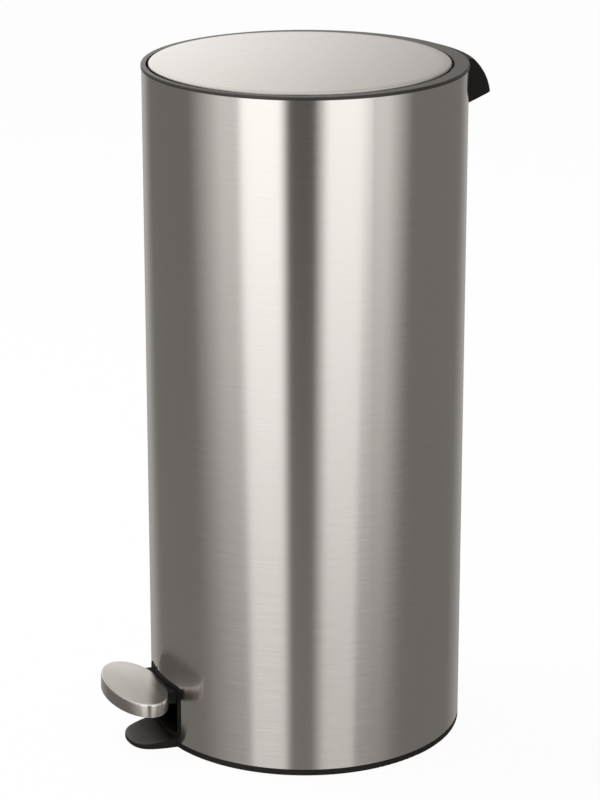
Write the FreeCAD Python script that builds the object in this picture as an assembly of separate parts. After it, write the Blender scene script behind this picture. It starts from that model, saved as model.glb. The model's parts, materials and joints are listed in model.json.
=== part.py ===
import FreeCAD, Part
import math
import os

# Tall round pedal bin. Millimetres. The origin is on the floor under the middle of the shell.
# +Z is up, the pedal is towards -Y and the lid hinge and carrying hood are towards +Y.

# Fits shared by every piece
slip_gap = 0.3
seat_gap = 0.1
bearing_gap = 0.05
overrun = 4.0

# Rolled steel shell
shell_radius = 150.0
shell_wall = 0.6
shell_bottom = 6.5
shell_top = 644.0

# Pedal window in the shell and its trim
window_half_width = 36.0
window_bottom = 13.0
window_rise = 19.0
window_corner = 4.0
frame_wall = 2.0
frame_depth = 8.0
frame_lip = 1.6
frame_lip_thickness = 0.8

# Moulded base
base_floor = 3.5
base_rise = 21.0
base_edge = 1.5
spigot_wall = 3.0
toe_root = 10.0
toe_root_half_width = 31.0
toe_middle_reach = 17.0
toe_middle_half_width = 27.0
toe_nose_reach = 27.5
toe_nose_half_width = 22.0
toe_length = 35.2
toe_height = 9.5
toe_tip_height = 4.5
toe_edge = 2.5
rib_start = 42.0
rib_thickness = 2.4
rib_height = 10.0
rib_angles = (-35.0, 0.0, 35.0, 145.0, 180.0, 215.0)
bearing_thickness = 6.0
bearing_side_gap = 1.0
bearing_radius = 7.0
bearing_foot = 40.0

# Rubber pads under the base
pad_radius = 10.0
pad_thickness = 2.0
pad_inset = 25.0
pad_angles = (45.0, 135.0, 225.0, 315.0)

# Lever axle, its caps and its bushes
axle_place = -60.0
axle_height = 43.0
axle_radius = 3.0
cap_length = 4.0
cap_radius = 5.5
cap_end = 1.2
bush_wall = 1.4
bush_flange = 1.6
bush_flange_thickness = 0.8
bush_tail = 1.0

# Folded steel lever, in its own level frame with the axle at zero
lever_tilt = 1.5
lever_half_width = 9.0
lever_sheet = 1.5
lever_top = 8.0
lever_depth = 16.0
lever_nose = 12.5
lever_tail = 6.0

# Pedal
pedal_out = 27.6
pedal_width = 112.0
pedal_length = 55.0
pedal_depth = 13.0
pedal_top = 14.0
pedal_sheet = 0.8
pedal_edge = 1.6
pedal_arm_gap = 4.0
pedal_arm_inside = 22.0
pedal_arm_skin = 2.8
pedal_arm_wall = 2.5
pedal_screw_back = 22.0
pedal_screw_front = 5.0

# Lid disc and its dish
lid_margin = 11.0
lid_forward = 5.1
lid_lift = 1.0
lid_crown = 1.5
lid_sheet = 0.8
lid_skirt = 2.5
lid_edge = 1.2
dish_gap = 3.5
dish_wall = 2.5
dish_flange = 4.4
dish_depth = 14.0
dish_edge = 2.0

# Lid hinge, crank and hinge bracket
hinge_inset = 9.0
hinge_drop = 6.0
hinge_pin_radius = 1.75
hinge_eye_radius = 3.0
lid_swing = 78.0
crank_reach = 20.0
crank_half_thickness = 3.5
crank_wall = 2.6
crank_slack = 1.4
neck_inner = 17.0
neck_width = 7.0
neck_depth = 16.0
neck_thickness = 4.6
neck_reach = 23.0
bracket_half_width = 36.0
bracket_far = 51.0
bracket_near = 20.5
bracket_thickness = 3.0
bracket_screw_side = 30.0
bracket_screw_insets = (5.0, 22.0)

# Collar
collar_band = 3.0
collar_overhang = 0.6
collar_edge = 1.0
collar_roof = 2.2
skirt_wall = 2.2
skirt_depth = 36.0
lid_gap = 2.2
recess_wall = 2.2
step_drop = 7.0
step_width = 6.7
step_thickness = 2.5
bore_wall = 2.4
ledge_width = 5.5
ledge_drop = 30.0
ledge_thickness = 2.5
pocket_half_width = 33.0
cheek_inner = 26.0
cheek_thickness = 4.0
cheek_front = 6.0
cheek_depth = 8.0
buffer_radius = 3.0
buffer_stem = 1.5
buffer_angles = (45.0, 135.0, 225.0, 315.0)

# Lift rod and its two guides
rod_radius = 2.0
rod_side = 12.5
rod_end = 14.0
rod_bend = 4.0
clip_radius = 3.8
clip_thickness = 2.0
guide_half_width = 6.0
guide_lip = 4.0
guide_height = 10.0
low_guide_room = 20.0
high_guide_drop = 67.0
tower_gap = 8.5
tab_half_width = 10.0

# Carrying hood
hood_half_width = 38.0
hood_depth = 25.4
hood_top_reach = 8.0
hood_top_drop = 2.6
hood_tip_drop = 35.0
hood_root_drop = 42.5
hood_shoulder_reach = 18.4
hood_shoulder_drop = 15.5
hood_wall = 3.0
hood_corner = 9.0
hood_boss = 4.0
hood_screw_inset = 6.0
hood_screw_drop = 22.0

# Lift-out bucket
bucket_gap = 1.0
bucket_taper = 10.0
bucket_wall = 2.0
bucket_rise = 43.0
bucket_rod_room = 11.0
flange_gap = 1.0
flange_thickness = 3.0
flange_back = 1.0
grip_half_width = 40.0
grip_drop = 9.0
grip_height = 24.0
grip_corner = 8.0

# Screws
screw_radius = 1.5
screw_head_radius = 3.2
screw_head = 1.8
hood_screw_length = 12.0
lid_screw_length = 5.0

# Heights and radii that follow from the sizes above
window_top = axle_height + window_rise
base_top = axle_height + base_rise
bucket_bottom = axle_height + bucket_rise
collar_top = shell_top + collar_band
skirt_bottom = shell_top - skirt_depth
step_height = collar_top - step_drop
ledge_top = collar_top - ledge_drop
spigot_radius = shell_radius - shell_wall - slip_gap
spigot_inside = spigot_radius - spigot_wall
skirt_inside = spigot_radius - skirt_wall
lid_radius = shell_radius - lid_margin
lid_rim = collar_top + lid_lift
lid_axis = -lid_forward
recess_radius = lid_radius + lid_gap
bore_radius = recess_radius - step_width
ledge_radius = bore_radius - ledge_width
dish_radius = bore_radius - dish_gap
dish_bottom = lid_rim - dish_depth
hood_screw_side = hood_half_width - hood_screw_inset
hood_screw_height = collar_top - hood_screw_drop

# Linkage: the lid's swing sets the rod's rise, and the rod's rise sets the lever's swing
hinge_place = shell_radius - hinge_inset
hinge_height = collar_top - hinge_drop
half_swing = math.radians(lid_swing / 2)
rod_place = hinge_place - crank_reach
rod_rise = 2 * crank_reach * math.tan(half_swing)
rod_high = hinge_height - rod_rise / 2
rest_turn = math.radians(lever_tilt)
lever_reach = (rod_place - axle_place) / math.cos(rest_turn)
rod_low = axle_height - lever_reach * math.sin(rest_turn)
raised_turn = math.atan((rod_low + rod_rise - axle_height) / (rod_place - axle_place))
lever_swing = lever_tilt + math.degrees(raised_turn)
slot_play = lever_reach * (math.cos(rest_turn) / math.cos(raised_turn) - 1) + slip_gap
pedal_reach = shell_radius + pedal_out + axle_place
lever_front = pedal_reach + lever_nose
pedal_arm_half_width = window_half_width - pedal_arm_gap
pedal_arm_rear = shell_radius + axle_place - pedal_arm_inside
pedal_screw_reaches = (pedal_reach - pedal_screw_back, pedal_reach + pedal_screw_front)
bush_radius = axle_radius + bearing_gap + bush_wall
bearing_start = lever_half_width + bearing_side_gap
bearing_end = bearing_start + bearing_thickness
bracket_front = hinge_place - bracket_far
bracket_back = hinge_place - bracket_near
bracket_screw_rows = [bracket_front + inset for inset in bracket_screw_insets]
neck_outer = neck_inner + neck_width
low_guide = rod_low + rod_rise + low_guide_room
high_guide = collar_top - high_guide_drop
bucket_back = rod_place - bucket_rod_room
bucket_radius = ledge_radius - bucket_gap
bucket_foot_radius = bucket_radius - bucket_taper
flange_radius = bore_radius - flange_gap

up = FreeCAD.Vector(0, 0, 1)
backward = FreeCAD.Vector(0, 1, 0)
sideways = FreeCAD.Vector(1, 0, 0)
middle = FreeCAD.Vector(0, 0, 0)


def drum(radius, bottom, top, place=0, side=0):
    """Upright round bar."""
    return Part.makeCylinder(radius, top - bottom, FreeCAD.Vector(side, place, bottom), up)


def tube(outside, inside, bottom, top, place=0):
    """Upright round tube."""
    return drum(outside, bottom, top, place).cut(drum(inside, bottom - overrun, top + overrun, place))


def block(left, right, front, back, bottom, top):
    """Box between six faces."""
    corner = FreeCAD.Vector(left, front, bottom)
    return Part.makeBox(right - left, back - front, top - bottom, corner)


def cross_bar(radius, left, right, place, height):
    """Round bar along X."""
    return Part.makeCylinder(radius, right - left, FreeCAD.Vector(left, place, height), sideways)


def through_bar(radius, front, back, side, height):
    """Round bar along Y."""
    return Part.makeCylinder(radius, back - front, FreeCAD.Vector(side, front, height), backward)


def side_plate(points, left, right):
    """Plate with a straight-sided outline in Y and Z, between two X values."""
    corners = [FreeCAD.Vector(left, y, z) for y, z in points]
    outline = Part.makePolygon(corners + corners[:1])
    return Part.Face(outline).extrude(sideways * (right - left))


def twin(shape):
    """The shape and its mirror image on the other side of the bin, as separate solids."""
    return Part.makeCompound([shape, shape.mirror(middle, sideways)])


def joined(first, others):
    """One solid made of several that overlap or touch."""
    return first.fuse(others).removeSplitter()


def turned(shape, angle):
    """The shape turned about the bin's upright axis."""
    copy = shape.copy()
    copy.rotate(middle, up, angle)
    return copy


def on_lever(shape):
    """Carry a shape from the lever's level frame to where the lever rests."""
    copy = shape.copy()
    copy.rotate(middle, sideways, -lever_tilt)
    copy.translate(FreeCAD.Vector(0, axle_place, axle_height))
    return copy


def level_edges(shape, height):
    """Edges that lie wholly at one height."""
    found = []
    for edge in shape.Edges:
        box = edge.BoundBox
        if abs(box.ZMin - height) < seat_gap and abs(box.ZMax - height) < seat_gap:
            found.append(edge)
    return found


def upright_edges(shape):
    """Straight edges that stand upright."""
    found = []
    for edge in shape.Edges:
        box = edge.BoundBox
        if box.XLength < seat_gap and box.YLength < seat_gap:
            found.append(edge)
    return found


def window_plug(margin, depth):
    """Rounded bar through the front, as wide as the pedal window plus a margin."""
    half = window_half_width + margin
    plug = block(-half, half, -depth, -bore_radius / 2, window_bottom - margin, window_top + margin)
    corners = [edge for edge in plug.Edges if edge.BoundBox.YLength > overrun]
    return plug.makeFillet(window_corner, corners)


def hood_screw_holes(radius):
    """Bars along Y where the hood's screws pass."""
    end = shell_radius + hood_depth
    return twin(through_bar(radius, bore_radius / 2, end, hood_screw_side, hood_screw_height))


def body_shell():
    shell = tube(shell_radius, shell_radius - shell_wall, shell_bottom, shell_top)
    shell = shell.cut(window_plug(0, shell_radius + overrun))
    return shell.cut(hood_screw_holes(screw_radius + slip_gap))


def slot_frame():
    """Trim that lines the window, with a thin lip on the outside of the shell."""
    reach = shell_radius + overrun
    lining = window_plug(-slip_gap, reach)
    face = shell_radius + seat_gap
    lining = lining.common(tube(face, shell_radius - frame_depth, 0, base_top + window_top))
    lip = window_plug(frame_lip, reach)
    lip = lip.common(tube(face + frame_lip_thickness, face, 0, base_top + window_top))
    frame = joined(lining, [lip])
    return frame.cut(window_plug(-slip_gap - frame_wall, reach + overrun))


def toe():
    """Tongue on the floor under the pedal, with a rounded nose and a top that slopes down to it."""
    right = [
        (toe_root_half_width, toe_root - shell_radius),
        (toe_middle_half_width, -shell_radius - toe_middle_reach),
        (toe_nose_half_width, -shell_radius - toe_nose_reach),
    ]
    left = [(-x, y) for x, y in reversed(right)]
    outline = right + [(0, -shell_radius - toe_length)] + left
    curve = Part.BSplineCurve()
    curve.interpolate([FreeCAD.Vector(x, y, 0) for x, y in outline])
    start = FreeCAD.Vector(right[0][0], right[0][1], 0)
    end = FreeCAD.Vector(left[-1][0], left[-1][1], 0)
    wire = Part.Wire([curve.toShape(), Part.makeLine(end, start)])
    tongue = Part.Face(wire).extrude(up * (toe_height + toe_height))
    slope = (toe_height - toe_tip_height) / toe_length
    tip = -shell_radius - toe_length - overrun
    wedge = [
        (0, 0),
        (0, toe_height + slope * shell_radius),
        (tip, toe_tip_height - slope * overrun),
        (tip, 0),
    ]
    tongue = tongue.common(side_plate(wedge, -shell_radius, shell_radius))
    top = max(tongue.Faces, key=lambda face: face.CenterOfMass.z)
    tongue = tongue.makeFillet(toe_edge, [max(top.Edges, key=lambda edge: edge.Length)])
    return tongue.cut(drum(shell_radius + slip_gap, shell_bottom, shell_bottom + toe_height))


def lever_bearing():
    """Upright plate on the right that carries one end of the lever's axle."""
    points = [
        (axle_place - bearing_foot / 2, 0),
        (axle_place + bearing_foot / 2, 0),
        (axle_place + bearing_radius, axle_height),
        (axle_place - bearing_radius, axle_height),
    ]
    plate = side_plate(points, bearing_start, bearing_end)
    plate = plate.fuse(cross_bar(bearing_radius, bearing_start, bearing_end, axle_place, axle_height))
    hole = cross_bar(axle_radius + bearing_gap, 0, bearing_end + overrun, axle_place, axle_height)
    return plate.cut(hole)


def rod_fork(bottom, back):
    """Finger that holds the rod in a slot open to the front, so that the bent rod can be pressed in."""
    top = bottom + guide_height
    left = rod_side - guide_half_width
    right = rod_side + guide_half_width
    finger = block(left, right, rod_place - guide_lip, back, bottom, top)
    half = rod_radius + slip_gap
    front = rod_place - guide_lip - overrun
    slot = block(rod_side - half, rod_side + half, front, rod_place, bottom - overrun, top + overrun)
    slot = slot.fuse(drum(half, bottom - overrun, top + overrun, rod_place, rod_side))
    return finger.cut(slot)


def low_rod_guide():
    """Tower at the back of the base, with the lower rod fork."""
    left = rod_side - guide_half_width
    right = rod_side + guide_half_width
    tower = block(left, right, rod_place + tower_gap, shell_radius, 0, low_guide + guide_height)
    tower = tower.fuse(rod_fork(low_guide, shell_radius))
    return tower.common(drum(spigot_radius, 0, shell_top))


def floor_ribs():
    """Low webs that stiffen the base's floor."""
    half = rib_thickness / 2
    rib = block(rib_start, spigot_inside + spigot_wall / 2, -half, half, 0, rib_height)
    return [turned(rib, angle) for angle in rib_angles]


def pad_places():
    places = []
    circle = shell_radius - pad_inset
    for angle in pad_angles:
        turn = math.radians(angle)
        places.append((circle * math.cos(turn), circle * math.sin(turn)))
    return places


def base():
    rim = drum(shell_radius, 0, shell_bottom)
    rim = rim.makeFillet(base_edge, level_edges(rim, 0))
    tub = rim.fuse(drum(spigot_radius, shell_bottom, base_top))
    tub = tub.cut(drum(spigot_inside, base_floor, base_top + overrun))
    half = window_half_width + slip_gap
    depth = shell_radius + overrun
    tub = tub.cut(block(-half, half, -depth, axle_place, window_bottom, base_top + overrun))
    bearings = twin(lever_bearing()).Solids
    moulding = joined(tub, bearings + floor_ribs() + [toe(), low_rod_guide()])
    for x, y in pad_places():
        moulding = moulding.cut(drum(pad_radius + seat_gap, -overrun, pad_thickness, y, x))
    return moulding


def foot_pads():
    return Part.makeCompound([drum(pad_radius, 0, pad_thickness, y, x) for x, y in pad_places()])


def lever_axle():
    reach = bearing_end + seat_gap + cap_length - cap_end
    return cross_bar(axle_radius, -reach, reach, axle_place, axle_height)


def axle_caps():
    """Push-on caps that hold the axle between the bearings."""
    start = bearing_end + seat_gap
    cap = cross_bar(cap_radius, start, start + cap_length, axle_place, axle_height)
    reach = start + cap_length - cap_end + seat_gap
    cap = cap.cut(cross_bar(axle_radius + bearing_gap, 0, reach, axle_place, axle_height))
    return twin(cap)


def lever_bushes():
    """Flanged bushes in the lever's two cheeks, running on the axle."""
    inner = lever_half_width - lever_sheet - bush_tail
    outer = lever_half_width + bush_flange_thickness
    bush = cross_bar(bush_radius, inner, outer, 0, 0)
    bush = bush.fuse(cross_bar(bush_radius + bush_flange, lever_half_width, outer, 0, 0))
    bush = bush.cut(cross_bar(axle_radius + bearing_gap, 0, outer + overrun, 0, 0))
    return on_lever(twin(bush.removeSplitter()))


def pedal_lever():
    """Channel of folded sheet with its open side down."""
    back = lever_reach + lever_tail
    bottom = lever_top - lever_depth
    bar = block(-lever_half_width, lever_half_width, -lever_front, back, bottom, lever_top)
    inside = lever_half_width - lever_sheet
    front = -lever_front - overrun
    ceiling = lever_top - lever_sheet
    bar = bar.cut(block(-inside, inside, front, back + overrun, bottom - overrun, ceiling))
    wide = lever_half_width + overrun
    bar = bar.cut(cross_bar(bush_radius + bearing_gap, -wide, wide, 0, 0))
    half = rod_radius + slip_gap
    for place in (lever_reach - slot_play, lever_reach + slot_play):
        bar = bar.cut(cross_bar(half, -wide, wide, place, 0))
    bar = bar.cut(block(-wide, wide, lever_reach - slot_play, lever_reach + slot_play, -half, half))
    for reach in pedal_screw_reaches:
        bar = bar.cut(drum(screw_radius + seat_gap, bottom, lever_top + overrun, -reach))
    return on_lever(bar)


def oval(inset, bottom, top):
    """Upright bar with the pedal's oval outline, drawn in from its edge."""
    wide = pedal_width / 2 - inset
    long = pedal_length / 2 - inset
    ellipse = Part.Ellipse(FreeCAD.Vector(0, -pedal_reach, bottom), wide, long)
    face = Part.Face(Part.Wire(ellipse.toShape()))
    return face.extrude(up * (top - bottom))


def pedal_cap():
    """Drawn cup, notched at the back where the arm comes in."""
    bottom = pedal_top - pedal_depth
    cup = oval(0, bottom, pedal_top)
    cup = cup.makeFillet(pedal_edge, level_edges(cup, pedal_top))
    cup = cup.cut(oval(pedal_sheet, bottom - overrun, pedal_top - pedal_sheet))
    half = pedal_arm_half_width + slip_gap
    notch = block(-half, half, -pedal_reach, 0, bottom - overrun, pedal_top - pedal_sheet)
    return on_lever(cup.cut(notch))


def pedal_arm():
    """Moulded arm over the lever's front, with the oval core that fills the cap."""
    top = pedal_top - pedal_sheet - seat_gap
    bottom = pedal_top - pedal_depth + seat_gap
    core = oval(pedal_sheet + slip_gap, bottom, top)
    arm = block(-pedal_arm_half_width, pedal_arm_half_width, -pedal_reach, -pedal_arm_rear, bottom, top)
    inside = pedal_arm_half_width - pedal_arm_wall
    front = -pedal_reach + pedal_length / 2
    arm = arm.cut(block(-inside, inside, front, overrun, bottom - overrun, top - pedal_arm_skin))
    moulding = joined(core, [arm])
    half = lever_half_width + slip_gap
    groove = block(-half, half, -lever_front - slip_gap, overrun, bottom - overrun, lever_top + seat_gap)
    moulding = moulding.cut(groove)
    for reach in pedal_screw_reaches:
        moulding = moulding.cut(drum(screw_radius, bottom, lever_top + screw_radius, -reach))
    return on_lever(moulding)


def upward_screw(seat, length, side, place):
    """Round-headed screw driven up from below, its head under the seat."""
    head = drum(screw_head_radius, seat - screw_head, seat, place, side)
    head = head.makeFillet(screw_head / 2, level_edges(head, seat - screw_head))
    return head.fuse(drum(screw_radius, seat, seat + length, place, side)).removeSplitter()


def pedal_screws():
    seat = lever_top - lever_sheet
    tip = screw_radius + lever_sheet
    screws = [upward_screw(seat, tip, 0, -reach) for reach in pedal_screw_reaches]
    return on_lever(Part.makeCompound(screws))


def lift_rod():
    """Wire with both ends bent across the bin: one through the lever, one through the lid's crank."""
    low = FreeCAD.Vector(-rod_end, rod_place, rod_low)
    low_bend = FreeCAD.Vector(rod_side - rod_bend, rod_place, rod_low)
    high_bend = FreeCAD.Vector(rod_side - rod_bend, rod_place, rod_high)
    high = FreeCAD.Vector(-rod_end, rod_place, rod_high)
    low_side = FreeCAD.Vector(rod_side, rod_place, rod_low + rod_bend)
    high_side = FreeCAD.Vector(rod_side, rod_place, rod_high - rod_bend)
    corner = rod_bend * math.cos(math.radians(45))
    low_middle = FreeCAD.Vector(rod_side - rod_bend + corner, rod_place, rod_low + rod_bend - corner)
    high_middle = FreeCAD.Vector(rod_side - rod_bend + corner, rod_place, rod_high - rod_bend + corner)
    path = Part.Wire([
        Part.makeLine(low, low_bend),
        Part.Arc(low_bend, low_middle, low_side).toShape(),
        Part.makeLine(low_side, high_side),
        Part.Arc(high_side, high_middle, high_bend).toShape(),
        Part.makeLine(high_bend, high),
    ])
    section = Part.Wire(Part.makeCircle(rod_radius, low, sideways))
    return path.makePipeShell([section], True, False)


def rod_clips():
    """Push-on washers at the rod's two ends."""
    clips = []
    for height in (rod_low, rod_high):
        start = -rod_end + rod_radius / 2
        clip = cross_bar(clip_radius, start, start + clip_thickness, rod_place, height)
        clip = clip.cut(cross_bar(rod_radius + bearing_gap, -rod_end - overrun, 0, rod_place, height))
        clips.append(clip)
    return Part.makeCompound(clips)


def revolved(points, place):
    """Solid turned about an upright line from a straight-sided half profile of radius and height."""
    corners = [FreeCAD.Vector(radius, place, height) for radius, height in points]
    face = Part.Face(Part.makePolygon(corners + corners[:1]))
    return face.revolve(FreeCAD.Vector(0, place, 0), up, 360)


def crowned_disc(radius, bottom, rim, crown):
    """Disc with a flat underside and a slightly domed top."""
    sphere_radius = (radius * radius + crown * crown) / (2 * crown)
    centre = FreeCAD.Vector(0, lid_axis, rim + crown - sphere_radius)
    return drum(radius, bottom, rim + crown, lid_axis).common(Part.makeSphere(sphere_radius, centre))


def lid_cap():
    """Steel disc with a low crown and a short turned-down edge."""
    bottom = lid_rim - lid_skirt
    disc = crowned_disc(lid_radius, bottom, lid_rim, lid_crown)
    rim_edges = level_edges(disc, lid_rim)
    disc = disc.makeFillet(lid_edge, rim_edges)
    hollow = crowned_disc(lid_radius - lid_sheet, bottom - overrun, lid_rim - lid_sheet, lid_crown)
    return disc.cut(hollow)


def lid_liner():
    """Moulded dish under the lid disc, closed below."""
    top = lid_rim - lid_sheet - seat_gap
    outer = lid_radius - lid_sheet - slip_gap
    inner = dish_radius - dish_wall
    floor = dish_bottom + dish_wall
    points = [
        (0, dish_bottom),
        (dish_radius - dish_edge, dish_bottom),
        (dish_radius, dish_bottom + dish_edge),
        (dish_radius, top - dish_flange),
        (outer, top - dish_flange),
        (outer, top),
        (inner, top),
        (inner, floor),
        (0, floor),
    ]
    dish = revolved(points, lid_axis)
    for side in (-bracket_screw_side, bracket_screw_side):
        for row in bracket_screw_rows:
            dish = dish.cut(drum(screw_radius, dish_bottom - overrun, floor + overrun, row, side))
    return dish


def hinge_arm():
    """Goose-neck on the right that reaches under the collar's land to the hinge pin."""
    half = neck_thickness / 2
    low = hinge_height - neck_depth
    front = hinge_place - neck_reach
    plate = dish_bottom - bracket_thickness
    arm = cross_bar(hinge_eye_radius, neck_inner, neck_outer, hinge_place, hinge_height)
    neck = block(neck_inner, neck_outer, hinge_place - half, hinge_place + half, low - half, hinge_height)
    run = block(neck_inner, neck_outer, front - half, hinge_place + half, low - half, low + half)
    plate_middle = plate + bracket_thickness / 2
    post = block(neck_inner, neck_outer, front - half, front + half, low - half, plate_middle)
    return joined(arm, [neck, run, post])


def crank_bar(radius, left, right, inner, outer):
    """Rounded bar along the crank's slot, between two distances from the hinge."""
    along = FreeCAD.Vector(0, -math.cos(half_swing), -math.sin(half_swing))
    start = FreeCAD.Vector(0, hinge_place, hinge_height)
    across = FreeCAD.Vector(0, along.z, -along.y) * radius
    first = start + along * inner
    last = start + along * outer
    corners = [first + across, last + across, last - across, first - across]
    bar = side_plate([(corner.y, corner.z) for corner in corners], left, right)
    ends = [cross_bar(radius, left, right, point.y, point.z) for point in (first, last)]
    return joined(bar, ends)


def lid_hinge_bracket():
    """Plate under the dish with two hinge arms and the slotted crank that the rod pushes."""
    bottom = dish_bottom - bracket_thickness
    plate = block(-bracket_half_width, bracket_half_width, bracket_front, bracket_back, bottom, dish_bottom)
    far = crank_reach / math.cos(half_swing)
    slot = rod_radius + crank_slack
    lug = crank_bar(slot + crank_wall, -crank_half_thickness, crank_half_thickness, crank_reach, far)
    half = pocket_half_width
    below = block(-half, half, 0, shell_radius, ledge_top - lid_radius, dish_bottom)
    bracket = joined(plate, twin(hinge_arm()).Solids + [lug.common(below)])
    wide = bracket_half_width + overrun
    bracket = bracket.cut(crank_bar(slot, -crank_half_thickness - overrun, crank_half_thickness + overrun,
                                    crank_reach - slip_gap, far + slip_gap))
    bracket = bracket.cut(cross_bar(hinge_pin_radius + bearing_gap, -wide, wide, hinge_place, hinge_height))
    for side in (-bracket_screw_side, bracket_screw_side):
        for row in bracket_screw_rows:
            bracket = bracket.cut(countersunk_screw(side, row, seat_gap))
    return bracket


def countersunk_screw(side, row, gap):
    """Flat-headed screw that ends flush with the bracket's underside."""
    bottom = dish_bottom - bracket_thickness
    place = FreeCAD.Vector(side, row, bottom)
    head = Part.makeCone(screw_head_radius + gap, screw_radius + gap, screw_head + gap, place, up)
    shank = drum(screw_radius + gap, bottom, bottom + lid_screw_length, row, side)
    return head.fuse(shank).removeSplitter()


def lid_screws():
    screws = []
    for side in (-bracket_screw_side, bracket_screw_side):
        for row in bracket_screw_rows:
            screws.append(countersunk_screw(side, row, 0))
    return Part.makeCompound(screws)


def hinge_pin():
    reach = cheek_inner + cheek_thickness
    return cross_bar(hinge_pin_radius, -reach, reach, hinge_place, hinge_height)


def hinge_cheek():
    """Plate on the right inside the collar that holds one end of the hinge pin."""
    outer = cheek_inner + cheek_thickness
    top = collar_top - collar_roof / 2
    bottom = hinge_height - cheek_depth
    cheek = block(cheek_inner, outer, hinge_place - cheek_front, shell_radius, bottom, top)
    return cheek.common(drum(skirt_inside + skirt_wall / 2, skirt_bottom, collar_top))


def high_rod_guide():
    """Tab hanging from the collar's skirt, with the upper rod fork."""
    left = rod_side - tab_half_width
    right = rod_side + tab_half_width
    tab = block(left, right, 0, shell_radius, high_guide, skirt_bottom + overrun)
    tab = tab.common(tube(spigot_radius, skirt_inside, high_guide, skirt_bottom + overrun))
    fork = rod_fork(high_guide, shell_radius).common(drum(spigot_radius, 0, shell_top))
    return tab.fuse(fork)


def buffer_places():
    places = []
    circle = (recess_radius + bore_radius) / 2
    for angle in buffer_angles:
        turn = math.radians(angle)
        places.append((circle * math.cos(turn), lid_axis + circle * math.sin(turn)))
    return places


def collar():
    """Top ring: outer band and skirt, recess for the lid, step for the buffers, ledge for the bucket."""
    outside = shell_radius + collar_overhang
    band = drum(outside, shell_top, collar_top)
    band = band.makeFillet(collar_edge, level_edges(band, collar_top))
    band = band.cut(drum(skirt_inside, shell_top - overrun, collar_top - collar_roof))
    wall_outside = recess_radius + recess_wall
    step_bottom = step_height - step_thickness
    bore_outside = bore_radius + bore_wall
    ledge_bottom = ledge_top - ledge_thickness
    rings = [
        tube(spigot_radius, skirt_inside, skirt_bottom, shell_top),
        tube(wall_outside, recess_radius, step_bottom, collar_top - collar_roof / 2, lid_axis),
        tube(wall_outside, bore_radius, step_bottom, step_height, lid_axis),
        tube(bore_outside, bore_radius, ledge_bottom, step_height, lid_axis),
        tube(bore_outside, ledge_radius, ledge_bottom, ledge_top, lid_axis),
    ]
    ring = joined(band, rings)
    ring = ring.cut(drum(recess_radius, step_height, collar_top + overrun, lid_axis))
    half = pocket_half_width
    pocket = block(-half, half, 0, shell_radius, skirt_bottom, collar_top - collar_roof)
    ring = ring.cut(pocket.common(drum(skirt_inside, skirt_bottom, collar_top)))
    ring = joined(ring, twin(hinge_cheek()).Solids + [high_rod_guide()])
    wide = pocket_half_width
    ring = ring.cut(cross_bar(hinge_pin_radius + bearing_gap, -wide, wide, hinge_place, hinge_height))
    ring = ring.cut(hood_screw_holes(screw_radius + slip_gap))
    for x, y in buffer_places():
        ring = ring.cut(drum(buffer_stem + bearing_gap, step_bottom - overrun, step_height + overrun, y, x))
    return ring


def lid_buffers():
    """Rubber studs on the collar's step that the lid closes on."""
    top = lid_rim - lid_sheet - seat_gap - dish_flange - slip_gap
    studs = []
    for x, y in buffer_places():
        head = drum(buffer_radius, step_height, top, y, x)
        stem = drum(buffer_stem, step_height - step_thickness, step_height, y, x)
        studs.append(head.fuse(stem).removeSplitter())
    return Part.makeCompound(studs)


def hood_body(inset, drop):
    """Hood's block: a side outline with a round back, turned about the bin's axis to hug the drum."""
    half = hood_half_width - inset
    top = collar_top - hood_top_drop - inset
    back = shell_radius + hood_depth - inset
    front = shell_radius - hood_depth
    reach = shell_radius + hood_shoulder_reach - inset
    shoulder = FreeCAD.Vector(0, reach, collar_top - hood_shoulder_drop - inset)
    start = FreeCAD.Vector(0, shell_radius + hood_top_reach - inset, top)
    tip = FreeCAD.Vector(0, back, collar_top - hood_tip_drop)
    low_tip = FreeCAD.Vector(0, back, collar_top - hood_tip_drop - seat_gap - drop)
    low_root = FreeCAD.Vector(0, front, collar_top - hood_root_drop - hood_depth / 2 - drop)
    upper = FreeCAD.Vector(0, front, top)
    outline = Part.Wire([
        Part.makeLine(upper, start),
        Part.Arc(start, shoulder, tip).toShape(),
        Part.makeLine(tip, low_tip),
        Part.makeLine(low_tip, low_root),
        Part.makeLine(low_root, upper),
    ])
    ring = Part.Face(outline).revolve(middle, up, 360)
    plan = block(-half, half, 0, back, low_root.z - overrun, collar_top)
    corners = [edge for edge in upright_edges(plan) if edge.BoundBox.YMin > front]
    return ring.common(plan.makeFillet(hood_corner - inset, corners))


def rear_handle():
    """Carrying hood on the back of the shell, open below for the fingers."""
    hood = hood_body(0, 0).cut(hood_body(hood_wall, hood_depth))
    sides = (-hood_screw_side, hood_screw_side)
    end = shell_radius + hood_depth / 2
    front = shell_radius - hood_depth
    hood = joined(hood, [through_bar(hood_boss, front, end, side, hood_screw_height) for side in sides])
    hood = hood.cut(drum(shell_radius + seat_gap, 0, collar_top))
    hood = hood.cut(drum(shell_radius + collar_overhang + slip_gap, shell_top - slip_gap, collar_top))
    for side in sides:
        hood = hood.cut(through_bar(screw_radius, 0, end - hood_wall, side, hood_screw_height))
    return hood


def handle_screws():
    """Screws from inside, through the skirt and the shell into the hood's bosses."""
    seat = math.sqrt(skirt_inside ** 2 - (hood_screw_side + screw_head_radius) ** 2) - seat_gap
    tip = seat + hood_screw_length
    head = through_bar(screw_head_radius, seat - screw_head, seat, hood_screw_side, hood_screw_height)
    shank = through_bar(screw_radius, seat, tip, hood_screw_side, hood_screw_height)
    return twin(head.fuse(shank).removeSplitter())


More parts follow.
